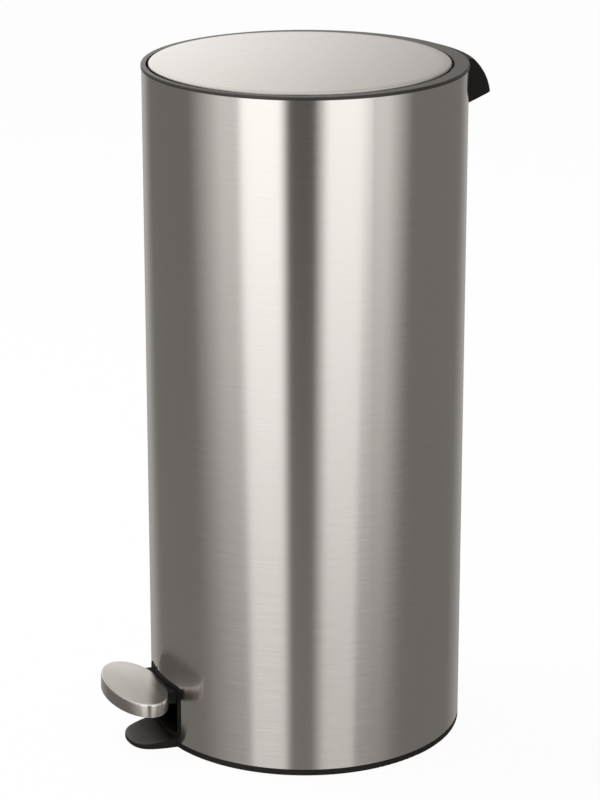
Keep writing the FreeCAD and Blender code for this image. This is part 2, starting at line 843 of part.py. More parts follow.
def bucket_body(inset, bottom, top):
    """Tapered drum with a flat back that leaves room for the rod."""
    mouth = bucket_radius - inset
    foot = FreeCAD.Vector(0, lid_axis, bottom)
    tub = Part.makeCone(bucket_foot_radius - inset, mouth, ledge_top - bottom, foot, up)
    tub = tub.fuse(drum(mouth, ledge_top, top, lid_axis))
    keep = block(-shell_radius, shell_radius, -shell_radius, bucket_back - inset, bottom, top)
    return tub.common(keep)


def bucket():
    """Lift-out bucket that hangs by its flange, with a finger hole on each side."""
    seat = ledge_top + seat_gap
    top = seat + flange_thickness
    outside = bucket_body(0, bucket_bottom, top)
    rim = drum(flange_radius, seat, top, lid_axis)
    reach = shell_radius
    rim = rim.common(block(-reach, reach, -reach, bucket_back + flange_back, 0, top))
    tub = joined(outside, [rim])
    tub = tub.cut(bucket_body(bucket_wall, bucket_bottom + bucket_wall, top + overrun))
    half = grip_half_width
    grip_top = ledge_top - grip_drop
    grip = block(-reach, reach, lid_axis - half, lid_axis + half, grip_top - grip_height, grip_top)
    along = [edge for edge in grip.Edges if edge.BoundBox.XLength > reach]
    return tub.cut(grip.makeFillet(grip_corner, along))


pieces = {
    "body_shell": body_shell,
    "slot_frame": slot_frame,
    "base": base,
    "foot_pads": foot_pads,
    "lever_axle": lever_axle,
    "axle_caps": axle_caps,
    "lever_bushes": lever_bushes,
    "pedal_lever": pedal_lever,
    "pedal_cap": pedal_cap,
    "pedal_arm": pedal_arm,
    "pedal_screws": pedal_screws,
    "lift_rod": lift_rod,
    "rod_clips": rod_clips,
    "lid_cap": lid_cap,
    "lid_liner": lid_liner,
    "lid_hinge_bracket": lid_hinge_bracket,
    "lid_screws": lid_screws,
    "hinge_pin": hinge_pin,
    "collar": collar,
    "lid_buffers": lid_buffers,
    "rear_handle": rear_handle,
    "handle_screws": handle_screws,
    "bucket": bucket,
}

os.makedirs("parts", exist_ok=True)
for name, make in pieces.items():
    shape = make()
    shape.exportStep("parts/" + name + ".step")
    print(name, len(shape.Solids), "solids", round(shape.Volume), "mm3", shape.isValid())
print("rod rise", round(rod_rise, 3), "lever swing", round(lever_swing, 4), "low pin", round(rod_low, 3))
print("hinge", hinge_place, hinge_height, "collar top", collar_top, "lid rim", lid_rim)
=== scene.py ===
# %% [markdown]
# # A steel pedal bin, dressed for the camera
# The construction model already holds every piece of the bin at its real size.
# This lesson loads it as a fixed frame, gives each piece the finish of the real
# material, remodels the pieces whose drawn or moulded edges need softer forms,
# and sets up a small white studio around the bin.

# %% Load the frame
import json
import math
import bpy
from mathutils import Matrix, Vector


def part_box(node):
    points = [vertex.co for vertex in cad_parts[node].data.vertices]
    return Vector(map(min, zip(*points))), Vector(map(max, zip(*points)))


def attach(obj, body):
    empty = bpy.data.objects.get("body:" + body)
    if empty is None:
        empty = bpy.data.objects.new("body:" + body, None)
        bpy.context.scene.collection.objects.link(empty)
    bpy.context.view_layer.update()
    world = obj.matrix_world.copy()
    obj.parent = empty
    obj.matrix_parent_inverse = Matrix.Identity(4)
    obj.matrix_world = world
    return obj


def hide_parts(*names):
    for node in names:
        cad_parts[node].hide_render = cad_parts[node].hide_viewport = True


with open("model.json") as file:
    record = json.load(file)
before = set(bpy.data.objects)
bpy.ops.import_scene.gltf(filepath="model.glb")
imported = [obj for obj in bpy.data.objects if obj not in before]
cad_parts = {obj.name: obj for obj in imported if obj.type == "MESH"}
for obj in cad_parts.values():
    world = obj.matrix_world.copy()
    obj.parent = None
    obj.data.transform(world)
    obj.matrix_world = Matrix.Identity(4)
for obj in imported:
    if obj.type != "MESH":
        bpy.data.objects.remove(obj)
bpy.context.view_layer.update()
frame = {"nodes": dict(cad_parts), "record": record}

nodes = frame["nodes"]
bpy.ops.object.select_all(action="DESELECT")

# %% [markdown]
# ## Writing finishes as sums
# A finish is a small network of shader nodes. Wiring each node by hand hides the
# idea, so a socket is wrapped in a class that knows how to add, multiply and
# compare. An expression such as `1 - grain * 0.2` then adds its own Math nodes.
# All other nodes come from one method, `node`, which sets the node's options
# first and then its inputs, each a plain value or a link.

# %% A socket that can be calculated with
class Signal:
    def __init__(self, finish, socket):
        self.finish = finish
        self.socket = socket

    def math(self, operation, *values):
        return self.finish.node("ShaderNodeMath", {"operation": operation}, dict(enumerate(values)))

    def __add__(self, other):
        return self.math("ADD", self, other)

    def __radd__(self, other):
        return self.math("ADD", other, self)

    def __sub__(self, other):
        return self.math("SUBTRACT", self, other)

    def __rsub__(self, other):
        return self.math("SUBTRACT", other, self)

    def __mul__(self, other):
        return self.math("MULTIPLY", self, other)

    def __rmul__(self, other):
        return self.math("MULTIPLY", other, self)

    def __truediv__(self, other):
        return self.math("DIVIDE", self, other)

    def __gt__(self, other):
        return self.math("GREATER_THAN", self, other)

    def __abs__(self):
        return self.math("ABSOLUTE", self)

    def limited(self):
        return self.math("MINIMUM", self.math("MAXIMUM", self, 0.0), 1.0)


# %% A finish that builds its own nodes
class Finish:
    def __init__(self, tree):
        self.tree = tree
        tree.nodes.clear()

    def node(self, kind, settings=None, inputs=None, output=0):
        made = self.tree.nodes.new(kind)
        for name, value in (settings or {}).items():
            if name == "stops":
                self.set_stops(made.color_ramp, value)
            else:
                setattr(made, name, value)
        for name, value in (inputs or {}).items():
            self.feed(made.inputs[name], value)
        return Signal(self, made.outputs[output]) if made.outputs else None

    def feed(self, socket, value):
        if isinstance(value, Signal):
            self.tree.links.new(value.socket, socket)
        else:
            socket.default_value = value

    def set_stops(self, ramp, stops):
        while len(ramp.elements) > 1:
            ramp.elements.remove(ramp.elements[-1])
        for number, (place, colour) in enumerate(stops):
            stop = ramp.elements[0] if number == 0 else ramp.elements.new(place)
            stop.position = place
            stop.color = colour

    def place(self):
        spot = self.node("ShaderNodeTexCoord", output="Object")
        parts = []
        for axis in ("X", "Y", "Z"):
            parts.append(self.node("ShaderNodeSeparateXYZ", inputs={0: spot}, output=axis))
        return parts

    def vector(self, x, y, z):
        return self.node("ShaderNodeCombineXYZ", inputs={"X": x, "Y": y, "Z": z})

    def noise(self, vector, scale, detail=2.0, roughness=0.5):
        inputs = {"Vector": vector, "Scale": scale, "Detail": detail, "Roughness": roughness}
        return self.node("ShaderNodeTexNoise", {"noise_dimensions": "3D"}, inputs, "Fac")

    def blend(self, share, first, second):
        settings = {"data_type": "RGBA", "blend_type": "MIX"}
        return self.node("ShaderNodeMix", settings, {"Factor": share, 6: first, 7: second}, 2)

    def bump(self, height, strength, distance):
        inputs = {"Strength": strength, "Distance": distance, "Height": height}
        return self.node("ShaderNodeBump", inputs=inputs)

    def plain_rays(self):
        """1 on rays from the camera, a mirror or glass, 0 on rays of diffuse light."""
        total = 0.0
        for kind in ("Is Camera Ray", "Is Glossy Ray", "Is Transmission Ray"):
            total = self.node("ShaderNodeLightPath", output=kind) + total
        return total.limited()

    def surface(self, **sockets):
        inputs = {name.replace("_", " "): value for name, value in sockets.items()}
        shader = self.node("ShaderNodeBsdfPrincipled", inputs=inputs)
        self.node("ShaderNodeOutputMaterial", inputs={"Surface": shader})


def new_finish(name):
    material = bpy.data.materials.new(name)
    material.use_nodes = True
    return material, Finish(material.node_tree)


print("finish tools ready")

# %% [markdown]
# ## Brushed steel round the drum
# The shell is thin stainless sheet, brushed lengthwise before it is rolled, so
# the fine scratches run round the drum. Two things make brushed steel look right.
# The scratches are streaks, long round the drum and a fraction of a millimetre
# high, which tint the metal and tilt its surface a little. And they spread every
# reflection up and down, which the shader's anisotropy does. The weld of the
# rolled sheet is at the back, where the angle round the drum starts and ends.

# %% Shell steel
STEEL_LIGHT = (0.692, 0.664, 0.638, 1)
STEEL_DARK = (0.638, 0.610, 0.584, 1)
SHELL_RADIUS = 0.150
# Streaks per metre round the drum and up it, then a number that sets each noise apart
SHELL_FINE = (24, 800, 0)
SHELL_BROAD = (4, 260, 3)
SHELL_CLOUD = (7, 5, 7)
WELD_HALF_ANGLE = 0.006
BRUSH_DEPTH = 0.0003

shell_steel, f = new_finish("shell_steel_finish")
x, y, z = f.place()
angle = x.math("ARCTAN2", x, -1 * y)
along = angle * SHELL_RADIUS
fine, broad, cloud = (
    f.noise(f.vector(along * across, z * up, apart), 1.0, detail, roughness)
    for (across, up, apart), detail, roughness in
    ((SHELL_FINE, 3.0, 0.65), (SHELL_BROAD, 2.0, 0.5), (SHELL_CLOUD, 2.0, 0.5)))
grain = fine * 0.78 + broad * 0.10 + cloud * 0.12
weld = abs(angle) > math.pi - WELD_HALF_ANGLE
f.surface(
    Base_Color=f.blend((grain * 2.4 - 0.7 - weld * 0.3).limited(), STEEL_DARK, STEEL_LIGHT),
    Metallic=1.0,
    Roughness=0.12 + grain * 0.10 + weld * 0.12,
    Anisotropic=0.80,
    Anisotropic_Rotation=0.25,
    Normal=f.bump(fine - weld * 0.5, 0.02, BRUSH_DEPTH),
)
print("shell steel: streaks round the drum, weld at the back")

# %% [markdown]
# ## Lid and pedal steel
# The lid disc and the pedal cap are pressed from flat sheet that was brushed
# straight. Their streaks run in one direction across the piece, and the surface
# is a little smoother, so that the pedal shows a soft picture of the shell. Feet
# polish the pedal's edge, and its bright colour there is also a painted
# highlight. The lid's turned-down edge is painted darker as painted shade, and
# the back of the pedal's rim, next to the drum, is painted dark as painted shade.

# %% Lid steel
# Painted shade: the lid's rolled edge is painted darker than the brushed face
LID_EDGE_PAINTED_SHADE = (0.55, 0.53, 0.505, 1)
LID_LIGHT = (0.805, 0.767, 0.729, 1)
LID_DARK = (0.740, 0.702, 0.664, 1)
# How far the rolled edges take their painted colour, shade on the lid and highlight on the pedal
ROLLED_PAINT_SHARE = 0.8
# Streaks per metre across the brush lines and along them
LID_FINE = (1400, 8)
LID_BROAD = (240, 4)

lid_steel, f = new_finish("lid_steel_finish")
x, y, z = f.place()
fine = f.noise(f.vector(x * LID_FINE[0], y * LID_FINE[1], z * LID_FINE[1]), 1.0, 3.0, 0.6)
broad = f.noise(f.vector(x * LID_BROAD[0], y * LID_BROAD[1], 5), 1.0, 2.0, 0.5)
grain = fine * 0.8 + broad * 0.2
rolled = f.node("ShaderNodeAttribute", {"attribute_name": "rolled"}, output="Fac")
brushed = f.blend((grain * 2.2 - 0.6).limited(), LID_DARK, LID_LIGHT)
f.surface(
    Base_Color=f.blend(rolled * ROLLED_PAINT_SHARE, brushed, LID_EDGE_PAINTED_SHADE),
    Metallic=1.0,
    Roughness=0.22 + grain * 0.12 - rolled * 0.02,
    Normal=f.bump(fine, 0.03, BRUSH_DEPTH),
)
print("lid steel: straight streaks, front to back")

# %% Pedal steel
# Painted highlight, partly foot polish: the pedal's rolled edge is painted bright
POLISH_AND_HIGHLIGHT = (0.92, 0.90, 0.87, 1)
PEDAL_LIGHT = (0.580, 0.552, 0.520, 1)
PEDAL_DARK = (0.496, 0.470, 0.441, 1)
# Painted shade: the back of the pedal's rim, next to the drum, is painted dark
PEDAL_PAINTED_SHADE = (0.150, 0.142, 0.132, 1)
PEDAL_FINE = (900, 12)
PEDAL_BROAD = (160, 6)
# Behind the first place and below the second, the cap's rim gets painted shade
PEDAL_REAR = -0.172
PEDAL_SIDE = 0.053
PEDAL_BLEND = 0.006
PEDAL_SHADE_SHARE = 0.9

pedal_steel, f = new_finish("pedal_steel_finish")
x, y, z = f.place()
fine, broad = (
    f.noise(f.vector(x * along, y * across, z * across), 1.0, detail, roughness)
    for (across, along), detail, roughness in ((PEDAL_FINE, 3.0, 0.6), (PEDAL_BROAD, 2.0, 0.5)))
grain = fine * 0.65 + broad * 0.35
rolled = f.node("ShaderNodeAttribute", {"attribute_name": "rolled"}, output="Fac")
# Painted shade mask: the back of the rim, below the cap's top
back = ((y - PEDAL_REAR) / PEDAL_BLEND).limited() * ((PEDAL_SIDE - z) / PEDAL_BLEND + 1).limited()
brushed = f.blend((grain * 2.2 - 0.6).limited(), PEDAL_DARK, PEDAL_LIGHT)
polish_and_highlight = f.blend(rolled * ROLLED_PAINT_SHARE, brushed, POLISH_AND_HIGHLIGHT)
f.surface(
    Base_Color=f.blend(back * PEDAL_SHADE_SHARE, polish_and_highlight, PEDAL_PAINTED_SHADE),
    Metallic=1.0,
    Roughness=0.19 + grain * 0.12 - rolled * 0.06 + back * 0.20,
    Normal=f.bump(grain, 0.06, BRUSH_DEPTH),
)
print("pedal steel: straight streaks, side to side")

# %% [markdown]
# ## Moulded plastics and rubber
# The base, the carrying hood and the lining of the pedal window are black
# plastic with a fine spark-eroded skin: tiny bumps that break up the gloss. One
# function makes all such skins, and each piece sets its colour, gloss and grain
# size. Slow patches in the roughness stand for the uneven flow of a moulding.
# The toe in front of the pedal window gets painted light, a lighter grey low down,
# further forward than any other piece, and only where it faces up. The rim of the
# base gets a little painted light, all round at floor level.

# %% Moulded skins
# Painted light: a lighter grey for the toe's top and the base's rim
PAINTED_LIGHT_GREY = (0.215, 0.190, 0.172, 1)
TOE_ROOT = -0.152
TOE_ROOF = 0.024
TOE_FADE = 0.018
# A surface gets the painted light from this upward share of its normal
LIT_TOP_SIDE = 0.35
LIT_TOP_BLEND = 0.50
# Painted light at floor level, all round the base's rim
RIM_ROOF = 0.010
RIM_FADE = 0.005
RIM_LIGHT_SHARE = 0.07
PATCH_SCALE = 26.0


def moulded(name, dark, light, roughness, shine, grain_size, depth):
    material, f = new_finish(name)
    x, y, z = f.place()
    spot = f.vector(x, y, z)
    skin = f.noise(spot, 1 / grain_size, 2.0, 0.6)
    patch = f.noise(spot, PATCH_SCALE, 2.0, 0.5)
    colour = f.blend((patch * 0.7 + skin * 0.6 - 0.15).limited(), dark, light)
    facing = f.node("ShaderNodeNewGeometry", output="Normal")
    upward = f.node("ShaderNodeSeparateXYZ", inputs={0: facing}, output="Z")
    # Painted light on the toe where it faces up, and on the rim at floor level
    lit_top_mask = ((upward - LIT_TOP_SIDE) / LIT_TOP_BLEND).limited() * ((TOE_ROOF - z) / TOE_FADE).limited()
    toe_painted_light = ((TOE_ROOT - y) / TOE_FADE).limited() * lit_top_mask
    rim_painted_light = ((RIM_ROOF - z) / RIM_FADE).limited() * RIM_LIGHT_SHARE
    f.surface(
        Base_Color=f.blend(((toe_painted_light + rim_painted_light) * (patch * 0.8 + 0.5)).limited(), colour, PAINTED_LIGHT_GREY),
        Roughness=roughness + patch * 0.10 + skin * 0.08 - 0.09,
        Specular_IOR_Level=shine,
        Normal=f.bump(skin, 0.25, depth),
    )
    return material


black_plastic = moulded(
    "black_plastic_finish", dark=(0.011, 0.0095, 0.0085, 1), light=(0.020, 0.0175, 0.016, 1),
    roughness=0.56, shine=0.12, grain_size=0.0007, depth=0.0001)
collar_plastic = moulded(
    "collar_plastic_finish", dark=(0.036, 0.0300, 0.0265, 1), light=(0.050, 0.0425, 0.0380, 1),
    roughness=0.38, shine=0.48, grain_size=0.0006, depth=0.0001)
bucket_plastic = moulded(
    "bucket_plastic_finish", dark=(0.045, 0.045, 0.047, 1), light=(0.064, 0.064, 0.067, 1),
    roughness=0.44, shine=0.40, grain_size=0.0008, depth=0.0001)
bush_plastic = moulded(
    "bush_plastic_finish", dark=(0.70, 0.69, 0.64, 1), light=(0.80, 0.79, 0.75, 1),
    roughness=0.40, shine=0.50, grain_size=0.0005, depth=0.00005)
rubber = moulded(
    "rubber_finish", dark=(0.018, 0.018, 0.018, 1), light=(0.034, 0.034, 0.034, 1),
    roughness=0.72, shine=0.30, grain_size=0.0009, depth=0.0001)
print("moulded skins: 5")

# %% [markdown]
# ## Plated steel
# The lever, the rod, the axle and the screws are zinc plated. Zinc grows in
# small patches that turn the light differently, a faint mottle on grey metal.

# %% Plated steel
ZINC_BLUE = (0.50, 0.51, 0.54, 1)
ZINC_WARM = (0.62, 0.62, 0.60, 1)
MOTTLE_SCALE = 420.0
TINT_SCALE = 60.0

plated_steel, f = new_finish("plated_steel_finish")
spot = f.vector(*f.place())
mottle = f.noise(spot, MOTTLE_SCALE, 3.0, 0.6)
tint = f.noise(spot, TINT_SCALE, 2.0, 0.5)
f.surface(
    Base_Color=f.blend((tint * 1.4 - 0.2).limited(), ZINC_BLUE, ZINC_WARM),
    Metallic=1.0,
    Roughness=0.28 + mottle * 0.18,
    Normal=f.bump(mottle, 0.08, 0.0002),
)
print("plated steel: zinc mottle")

# %% [markdown]
# ## Giving every piece its finish
# The record that travels with the frame names a material slot for each piece.
# The finishes above carry the same slot names, so one loop dresses all pieces.

# %% Dress the frame
finishes = {
    "shell_steel": shell_steel,
    "lid_steel": lid_steel,
    "pedal_steel": pedal_steel,
    "black_plastic": black_plastic,
    "collar_plastic": collar_plastic,
    "bucket_plastic": bucket_plastic,
    "bush_plastic": bush_plastic,
    "rubber": rubber,
    "plated_steel": plated_steel,
}
for row in frame["record"]["subparts"]:
    piece = nodes[row["node"]]
    piece.data.materials.clear()
    piece.data.materials.append(finishes[row["material_slot"]])

# %% [markdown]
# ## Tools for modelling by hand
# The pieces below are made as at a bench: draw a line, spin or extrude it, roll
# its edges, give it a wall. Small helpers stand for the hands. One takes a piece
# up alone, one draws a line by extruding one corner after another, one selects by
# place, and one cuts a piece with another or gives it a wall. The next ends a
# piece: doubles merged, faces turned outwards and shading smooth across every
# bend that isn't sharp. The last two mark rolled edges and set the piece in the
# place of its node.

# %% Modelling helpers
MERGE_DISTANCE = 0.00001
SHARP_ANGLE = math.radians(35)


def take(piece):
    bpy.ops.object.select_all(action="DESELECT")
    piece.select_set(True)
    bpy.context.view_layer.objects.active = piece


def draw_line(name, points):
    bpy.ops.object.select_all(action="DESELECT")
    bpy.ops.mesh.primitive_plane_add(size=0.001, location=points[0])
    line = bpy.context.object
    line.name = name
    bpy.ops.object.transform_apply(location=True, rotation=True, scale=True)
    bpy.ops.object.mode_set(mode="EDIT")
    bpy.ops.mesh.select_mode(type="VERT")
    bpy.ops.mesh.select_all(action="SELECT")
    bpy.ops.mesh.merge(type="CENTER")
    for start, end in zip(points, points[1:]):
        step = Vector(end) - Vector(start)
        bpy.ops.mesh.extrude_region_move(TRANSFORM_OT_translate={"value": step})
    return line


def choose(piece, kind, test):
    bpy.ops.object.mode_set(mode="EDIT")
    bpy.ops.mesh.select_mode(type=kind)
    bpy.ops.mesh.select_all(action="DESELECT")
    bpy.ops.object.mode_set(mode="OBJECT")
    corners = piece.data.vertices
    for item in piece.data.edges if kind == "EDGE" else piece.data.polygons:
        item.select = all(test(corners[number].co) for number in item.vertices)
    bpy.ops.object.mode_set(mode="EDIT")


def apply_modifier(piece, kind, **settings):
    bpy.ops.object.mode_set(mode="OBJECT")
    modifier = piece.modifiers.new(kind.lower(), kind)
    for name, value in settings.items():
        setattr(modifier, name, value)
    bpy.ops.object.modifier_apply(modifier=modifier.name)


def clean(piece):
    bpy.ops.object.mode_set(mode="EDIT")
    bpy.ops.mesh.select_all(action="SELECT")
    bpy.ops.mesh.remove_doubles(threshold=MERGE_DISTANCE)
    bpy.ops.mesh.normals_make_consistent(inside=False)
    bpy.ops.object.mode_set(mode="OBJECT")
    bpy.ops.object.shade_smooth_by_angle(angle=SHARP_ANGLE)


def mark_rolled(piece, flattest, steepest):
    rolled = piece.data.attributes.new("rolled", "FLOAT", "FACE")
    for number, face in enumerate(piece.data.polygons):
        rolled.data[number].value = 1.0 if steepest < face.normal.z < flattest else 0.0


def stand_for(piece, node, body, slot):
    piece.data.materials.clear()
    piece.data.materials.append(finishes[slot])
    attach(piece, body)
    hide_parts(node)
    low, high = piece.data.vertices[0].co.copy(), piece.data.vertices[0].co.copy()
    for corner in piece.data.vertices:
        low = Vector(map(min, low, corner.co))
        high = Vector(map(max, high, corner.co))
    cad_low, cad_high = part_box(node)
    off = [round(v * 1000, 2) for v in (*(low - cad_low), *(high - cad_high))]
    print(piece.name, "faces:", len(piece.data.polygons), "off the frame by mm:", off)


print("modelling helpers ready")

# %% [markdown]
# ## The lid, spun from its section
# The lid is a disc of thin sheet, domed by a millimetre and a half and turned
# down round its edge, so that the eye meets a soft bright line and no raw cut. A
# cylinder with a bevel would be flat on top. Here half the section is drawn
# instead, like a turner's template, and spun once round the lid's own axis. Every
# radius is then exact, and the dome has no facets.

# %% Lid section
LID_SHEET = 0.0008
LID_CROWN = 0.0015
LID_EDGE = 0.0012
CROWN_STEPS = 14
EDGE_STEPS = 6
LID_SPIN_STEPS = 224

lid_low, lid_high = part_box("lid_cap")
lid_radius = (lid_high.x - lid_low.x) / 2
lid_axis = (lid_high.y + lid_low.y) / 2


def crown_height(reach, radius, top):
    return top - LID_CROWN * (reach / radius) ** 2


section = []
edge_start = lid_radius - LID_EDGE
for step in range(CROWN_STEPS + 1):
    reach = edge_start * step / CROWN_STEPS
    section.append((reach, crown_height(reach, lid_radius, lid_high.z)))
edge_middle = section[-1][1] - LID_EDGE
for step in range(1, EDGE_STEPS + 1):
    bend = math.pi / 2 * step / EDGE_STEPS
    reach = edge_start + LID_EDGE * math.sin(bend)
    section.append((reach, edge_middle + LID_EDGE * math.cos(bend)))
inner_radius = lid_radius - LID_SHEET
section.append((lid_radius, lid_low.z))
section.append((inner_radius, lid_low.z))
for step in range(CROWN_STEPS, -1, -1):
    reach = inner_radius * step / CROWN_STEPS
    section.append((reach, crown_height(reach, inner_radius, lid_high.z - LID_SHEET)))
print("lid section points:", len(section), "radius mm:", round(lid_radius * 1000, 2))

# %% Lid disc
LID_FLATTEST = 0.985
LID_STEEPEST = 0.15

lid_disc = draw_line("lid_disc", [(reach, lid_axis, height) for reach, height in section])
bpy.ops.mesh.select_all(action="SELECT")
bpy.ops.mesh.spin(steps=LID_SPIN_STEPS, angle=2 * math.pi, center=(0, lid_axis, 0), axis=(0, 0, 1))
clean(lid_disc)
mark_rolled(lid_disc, LID_FLATTEST, LID_STEEPEST)
stand_for(lid_disc, "lid_cap", "lid", "lid_steel")

# %% [markdown]
# ## The pedal cap, drawn from an oval
# A foot meets the pedal on its oval cap: a shallow cup drawn from sheet over the
# black core of the arm, with a soft rolled edge that feet polish and that the
# finish paints bright as a painted highlight.
# The cup starts as a round face, is squeezed to the oval, pulled up to its depth,
# rolled along the top edge and given its wall. A notch at the back lets the arm
# in. Last, the whole cap tips with the lever, which rests a little nose up.

# %% Pedal cup
PEDAL_CORNERS = 160
PEDAL_WIDE = 0.112
PEDAL_LONG = 0.055
PEDAL_DEPTH = 0.013
PEDAL_TOP = 0.014
PEDAL_REACH = 0.1176
PEDAL_SHEET = 0.0008
PEDAL_EDGE = 0.0016
EDGE_SEGMENTS = 6

joints = frame["record"]["behaviour"]["joints"]
pedal_joint = next(row for row in joints if row["name"] == "pedal_hinge")
axle = Vector(pedal_joint["pos_m"])
pedal_spot = axle + Vector((0, -PEDAL_REACH, PEDAL_TOP - PEDAL_DEPTH))
pedal_roof = axle.z + PEDAL_TOP

bpy.ops.object.select_all(action="DESELECT")
bpy.ops.mesh.primitive_circle_add(
    vertices=PEDAL_CORNERS, radius=PEDAL_WIDE / 2, fill_type="NGON", location=pedal_spot)
pedal_cup = bpy.context.object
pedal_cup.name = "pedal_cup"
bpy.ops.object.transform_apply(location=True, rotation=True, scale=True)
bpy.ops.object.mode_set(mode="EDIT")
bpy.ops.mesh.select_all(action="SELECT")
bpy.ops.transform.resize(value=(1, PEDAL_LONG / PEDAL_WIDE, 1), center_override=pedal_spot)
bpy.ops.mesh.extrude_region_move(TRANSFORM_OT_translate={"value": (0, 0, PEDAL_DEPTH)})
choose(pedal_cup, "FACE", lambda spot: spot.z < pedal_spot.z + MERGE_DISTANCE)
bpy.ops.mesh.delete(type="FACE")
choose(pedal_cup, "EDGE", lambda spot: spot.z > pedal_roof - MERGE_DISTANCE)
bpy.ops.mesh.bevel(offset=PEDAL_EDGE, segments=EDGE_SEGMENTS, affect="EDGES")
clean(pedal_cup)
apply_modifier(pedal_cup, "SOLIDIFY", thickness=PEDAL_SHEET, offset=-1.0)
print("pedal cup faces:", len(pedal_cup.data.polygons))

# %% Notch for the arm
NOTCH_WIDE = 0.0646
PEDAL_FLATTEST = 0.97
PEDAL_STEEPEST = 0.10

notch_low = pedal_spot.z - PEDAL_SHEET
notch_high = pedal_roof - PEDAL_SHEET
notch_spot = (0, pedal_spot.y + PEDAL_LONG / 2, (notch_low + notch_high) / 2)
notch_size = (NOTCH_WIDE, PEDAL_LONG, notch_high - notch_low)
bpy.ops.mesh.primitive_cube_add(size=1, location=notch_spot, scale=notch_size)
notch = bpy.context.object
take(pedal_cup)
apply_modifier(pedal_cup, "BOOLEAN", operation="DIFFERENCE", solver="EXACT", object=notch)
bpy.data.objects.remove(notch)
mark_rolled(pedal_cup, PEDAL_FLATTEST, PEDAL_STEEPEST)
print("pedal cup notched for the arm")

# %% Tip the cap with the lever
LEVER_TILT = math.radians(1.5)

bpy.ops.object.mode_set(mode="EDIT")
bpy.ops.mesh.select_all(action="SELECT")
bpy.ops.transform.rotate(value=LEVER_TILT, orient_axis="X", center_override=axle)
bpy.ops.object.mode_set(mode="OBJECT")
bpy.ops.object.shade_smooth_by_angle(angle=SHARP_ANGLE)
stand_for(pedal_cup, "pedal_cap", "pedal", "pedal_steel")

# %% [markdown]
# ## Screws of the open lid
# Four flat-headed screws hold the hinge bracket under the lid, and they face the
# room as soon as the lid is open. The frame has them as plain cones. One screw is
# spun from its section, with a broken rim and a point, and its cross drive is cut
# by two bars that narrow as they go in. The other three are copies of it.

# %% One screw
SCREW_HEAD = 0.0032
SCREW_SHANK = 0.0015
SCREW_SINK = 0.0018
SCREW_RIM = 0.0002
SCREW_POINT = 0.0012
SCREW_SPIN_STEPS = 40

screw_low, screw_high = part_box("lid_screws")
screw_side = screw_high.x - SCREW_HEAD
screw_row = screw_low.y + SCREW_HEAD
screw_section = [
    (0, screw_low.z),
    (SCREW_HEAD - 2 * SCREW_RIM, screw_low.z),
    (SCREW_HEAD - SCREW_RIM, screw_low.z + SCREW_RIM / 2),
    (SCREW_SHANK, screw_low.z + SCREW_SINK),
    (SCREW_SHANK, screw_high.z - SCREW_POINT),
    (0, screw_high.z),
]
lid_screw_set = draw_line(
    "lid_screw_set", [(screw_side + reach, screw_row, height) for reach, height in screw_section])
bpy.ops.mesh.select_all(action="SELECT")
bpy.ops.mesh.spin(
    steps=SCREW_SPIN_STEPS, angle=2 * math.pi, center=(screw_side, screw_row, 0), axis=(0, 0, 1))
clean(lid_screw_set)
print("screw faces:", len(lid_screw_set.data.polygons))

# %% Cross drive
DRIVE_LONG = 0.0036
DRIVE_WIDE = 0.0009
DRIVE_DEEP = 0.0013
DRIVE_TAPER = 0.45

drive_spot = Vector((screw_side, screw_row, screw_low.z))
for long, wide in ((DRIVE_LONG, DRIVE_WIDE), (DRIVE_WIDE, DRIVE_LONG)):
    bpy.ops.object.select_all(action="DESELECT")
    bpy.ops.mesh.primitive_cube_add(size=1, location=drive_spot, scale=(long, wide, 2 * DRIVE_DEEP))
    drive = bpy.context.object
    bpy.ops.object.transform_apply(location=True, rotation=True, scale=True)
    choose(drive, "FACE", lambda spot: spot.z > drive_spot.z)
    bpy.ops.transform.resize(value=(DRIVE_TAPER, DRIVE_TAPER, 1), center_override=drive_spot)
    bpy.ops.object.mode_set(mode="OBJECT")
    take(lid_screw_set)
    apply_modifier(lid_screw_set, "BOOLEAN", operation="DIFFERENCE", solver="EXACT", object=drive)
    bpy.data.objects.remove(drive)
print("cross drive cut, faces:", len(lid_screw_set.data.polygons))

# %% Copies of the screw
to_left = -2 * screw_side
to_back = screw_high.y - SCREW_HEAD - screw_row
for step in ((0, to_back, 0), (to_left, 0, 0), (to_left, to_back, 0)):
    choose(lid_screw_set, "FACE", lambda spot: spot.x > 0 and spot.y < screw_row + SCREW_HEAD)
    bpy.ops.mesh.duplicate_move(TRANSFORM_OT_translate={"value": step})
clean(lid_screw_set)
stand_for(lid_screw_set, "lid_screws", "lid", "plated_steel")

# %% [markdown]
# ## The studio
# Polished metal shows its surroundings more than itself. The bin stands on a
# white floor in white light, and a ring of pale and dark cards stands round it
# at six metres, as a photographer sets them to give a drum its upright bands.
# The cards show only in reflections. The floor and the world are white to the
# camera, and the floor keeps the bin's soft shadow.

# %% Floor
FLOOR_SIZE = 12.0
FLOOR_GLOW = 0.96
PAPER = (0.96, 0.96, 0.96, 1)
WHITE = (1, 1, 1, 1)

bpy.ops.mesh.primitive_plane_add(size=FLOOR_SIZE, location=(0, 0, 0))
floor = bpy.context.object
floor.name = "studio_floor"
floor_white, f = new_finish("floor_white")
paper = f.node("ShaderNodeBsdfDiffuse", inputs={"Color": PAPER})
glow = f.node("ShaderNodeEmission", inputs={"Color": WHITE, "Strength": 1.0})
white = f.node("ShaderNodeMixShader", inputs={0: f.plain_rays() * FLOOR_GLOW, 1: paper, 2: glow})
f.node("ShaderNodeOutputMaterial", inputs={"Surface": white})
floor.data.materials.append(floor_white)
floor.visible_glossy = False
print("floor metres:", FLOOR_SIZE)

# %% World
WORLD_LIGHT = 0.45

